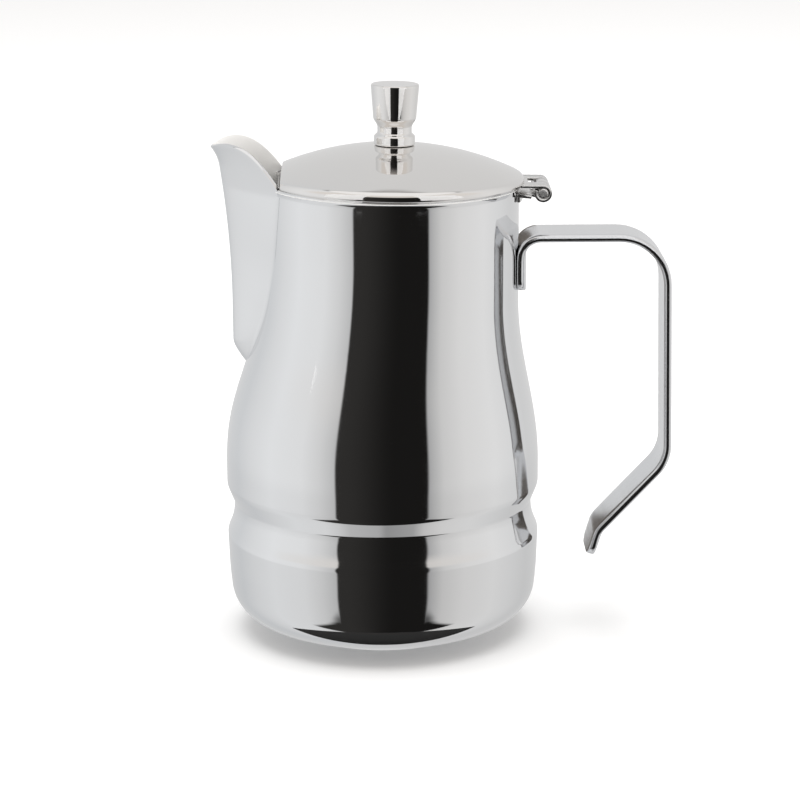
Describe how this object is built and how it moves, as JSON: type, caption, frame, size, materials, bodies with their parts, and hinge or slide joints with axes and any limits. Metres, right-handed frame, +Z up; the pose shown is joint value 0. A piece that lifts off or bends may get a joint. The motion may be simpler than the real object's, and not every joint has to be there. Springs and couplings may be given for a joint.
{
  "type": "coffee pot",
  "caption": "Pear-shaped polished steel coffee pot with a folded V spout, a bent strap handle and a domed lid that swings back on a pinned hinge.",
  "frame": {"origin": "centre of the base, on the axis of the foot and barrel, at the surface the pot stands on", "axes": "+Z up along the body's axis; +X towards the handle and the lid's hinge; -X towards the spout; Y across"},
  "size_m": [0.1316, 0.0906, 0.1596],
  "materials": {
    "body_steel": "mirror polished stainless steel",
    "lid_steel": "mirror polished stainless steel, slightly warm",
    "handle_steel": "fine polished stainless strip with buffed edges",
    "hinge_steel": "polished stainless sheet and pin",
    "weld_steel": "dressed and buffed weld"
  },
  "bodies": {
    "pot": {"body_shell": "body_steel", "spout": "body_steel", "spout_weld": "body_steel", "handle_strap": "handle_steel", "handle_spot_welds": "weld_steel", "hinge_bracket": "hinge_steel", "bracket_spot_welds": "weld_steel", "hinge_pin": "hinge_steel"},
    "lid": {"lid_cover": "lid_steel", "lid_hinge_leaf": "hinge_steel", "leaf_spot_welds": "weld_steel", "lid_knob": "lid_steel", "knob_screw": "hinge_steel", "knob_washer": "hinge_steel"}
  },
  "joints": [
    {"name": "lid_hinge", "type": "hinge", "parent": "pot", "child": "lid", "pos_m": [0.0458, 0, 0.12935], "axis": [0, 1, 0], "range_deg": [0, 172]}
  ]
}
